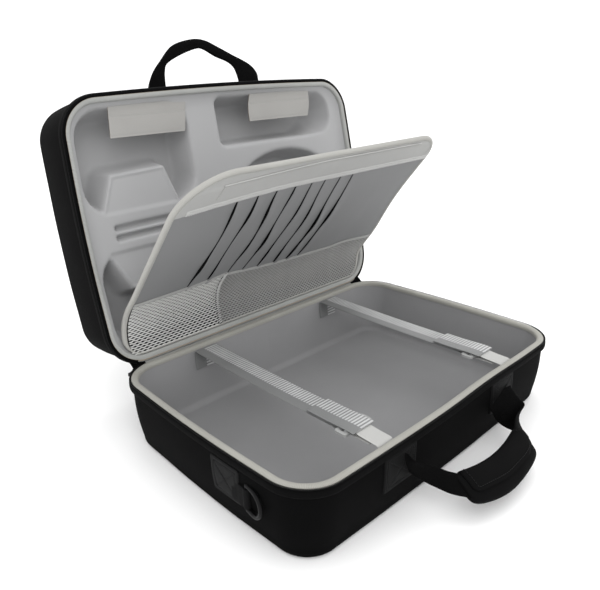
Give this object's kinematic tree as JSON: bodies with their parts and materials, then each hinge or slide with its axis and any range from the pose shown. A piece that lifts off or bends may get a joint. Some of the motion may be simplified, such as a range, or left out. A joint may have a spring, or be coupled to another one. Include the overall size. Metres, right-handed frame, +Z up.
{
  "type": "console carrying case",
  "caption": "Hard zip-up carrying case with a deep tray and tie-down straps, a lid with moulded recesses on a cloth spine, a folding pocket divider, carry handles and strap rings.",
  "frame": {"origin": "middle of the tray bottom face", "axes": "+Z up, +X along the spine to the right seen from the handle side, -Y towards the handles"},
  "size_m": [0.4624, 0.5211, 0.4557],
  "materials": {
    "outer_cloth": "fine woven black cloth over moulded foam",
    "zip_tape": "woven black tape with coil teeth",
    "zip_metal": "black lacquered zinc",
    "lining": "grey brushed knit",
    "rim_binding": "warm grey ribbed binding tape",
    "divider_binding": "cream grey binding tape",
    "moulded_insert": "light grey knit laminated on moulded foam",
    "flap_cloth": "warm light grey cloth with a stitched hem",
    "patch_leather": "black grained coated cloth, stitched",
    "webbing": "black woven webbing",
    "grip_pad": "black padded wrap",
    "ring_plastic": "black moulded plastic",
    "strap_ring": "pale moulded plastic",
    "strap_tab": "white tape",
    "strap_elastic": "silver grey ribbed elastic",
    "mesh_net": "grey knitted net",
    "header_tape": "light grey hem band",
    "divider_cloth": "mid grey coated cloth"
  },
  "bodies": {
    "base": {"base_shell": "outer_cloth", "base_lining": "lining", "base_binding": "rim_binding", "base_zip_tape": "zip_tape", "hinge_strip": "outer_cloth", "zip_slider_left": "zip_metal", "zip_slider_right": "zip_metal", "handle_patch_left": "patch_leather", "handle_patch_right": "patch_leather", "side_patch_left": "patch_leather", "side_patch_right": "patch_leather", "ring_loop_left": "webbing", "ring_loop_right": "webbing", "strap_left": "strap_elastic", "strap_right": "strap_elastic", "strap_ring_left": "strap_ring", "strap_ring_right": "strap_ring", "strap_tab_left": "strap_tab", "strap_tab_right": "strap_tab"},
    "lid": {"lid_shell": "outer_cloth", "lid_lining": "lining", "lid_insert": "moulded_insert", "lid_binding": "rim_binding", "lid_zip_tape": "zip_tape", "lid_handle_patch_left": "patch_leather", "lid_handle_patch_right": "patch_leather", "upper_holder_flap": "flap_cloth", "lower_holder_flap": "flap_cloth", "cable_flap": "flap_cloth", "divider_root": "divider_cloth"},
    "divider": {"divider_board": "divider_cloth", "divider_binding": "divider_binding", "divider_header": "header_tape", "divider_face": "divider_cloth", "media_sleeve_1": "divider_cloth", "media_sleeve_2": "divider_cloth", "media_sleeve_3": "divider_cloth", "media_sleeve_4": "divider_cloth", "media_sleeve_5": "divider_cloth", "media_sleeve_6": "divider_cloth", "media_sleeve_7": "divider_cloth", "media_sleeve_8": "divider_cloth", "mesh_pocket_left": "mesh_net", "mesh_pocket_right": "mesh_net"},
    "carry_handle": {"handle_webbing": "webbing", "handle_grip": "grip_pad"},
    "lid_handle": {"lid_handle_webbing": "webbing"},
    "ring_left": {"d_ring_left": "ring_plastic"},
    "ring_right": {"d_ring_right": "ring_plastic"},
    "pull_left": {"zip_pull_left": "zip_metal"},
    "pull_right": {"zip_pull_right": "zip_metal"}
  },
  "joints": [
    {"name": "lid_hinge", "type": "hinge", "parent": "base", "child": "lid", "pos_m": [0, 0.1585, 0.0858], "axis": [-1, 0, 0], "range_deg": [-100.5, 75]},
    {"name": "divider_fold", "type": "hinge", "parent": "lid", "child": "divider", "pos_m": [0, 0.17282, 0.14112], "axis": [1, 0, 0], "range_deg": [-51.2, 38.3], "deforming": ["mesh_pocket_left", "mesh_pocket_right"]},
    {"name": "carry_handle_swing", "type": "hinge", "parent": "base", "child": "carry_handle", "pos_m": [0, -0.1586, 0.055], "axis": [-1, 0, 0], "range_deg": [-7, 45], "deforming": ["handle_webbing"]},
    {"name": "lid_handle_swing", "type": "hinge", "parent": "lid", "child": "lid_handle", "pos_m": [0, 0.24518, 0.38887], "axis": [-1, 0, 0], "range_deg": [-8, 75]},
    {"name": "ring_left_swing", "type": "hinge", "parent": "base", "child": "ring_left", "pos_m": [-0.22589, -0.079, 0.046], "axis": [0, 0, -1], "range_deg": [-5, 150]},
    {"name": "ring_right_swing", "type": "hinge", "parent": "base", "child": "ring_right", "pos_m": [0.22589, -0.079, 0.046], "axis": [0, 0, 1], "range_deg": [-5, 150]},
    {"name": "pull_left_swing", "type": "hinge", "parent": "base", "child": "pull_left", "pos_m": [-0.2078, 0.15632, 0.0794], "axis": [0.866, 0.5, 0], "range_deg": [-15, 40]},
    {"name": "pull_right_swing", "type": "hinge", "parent": "base", "child": "pull_right", "pos_m": [0.2078, 0.15632, 0.0794], "axis": [0.866, -0.5, 0], "range_deg": [-15, 40]}
  ],
  "couplings": [
    {"joint": "divider_fold", "follows": "lid_hinge", "ratio": 0.50896}
  ]
}
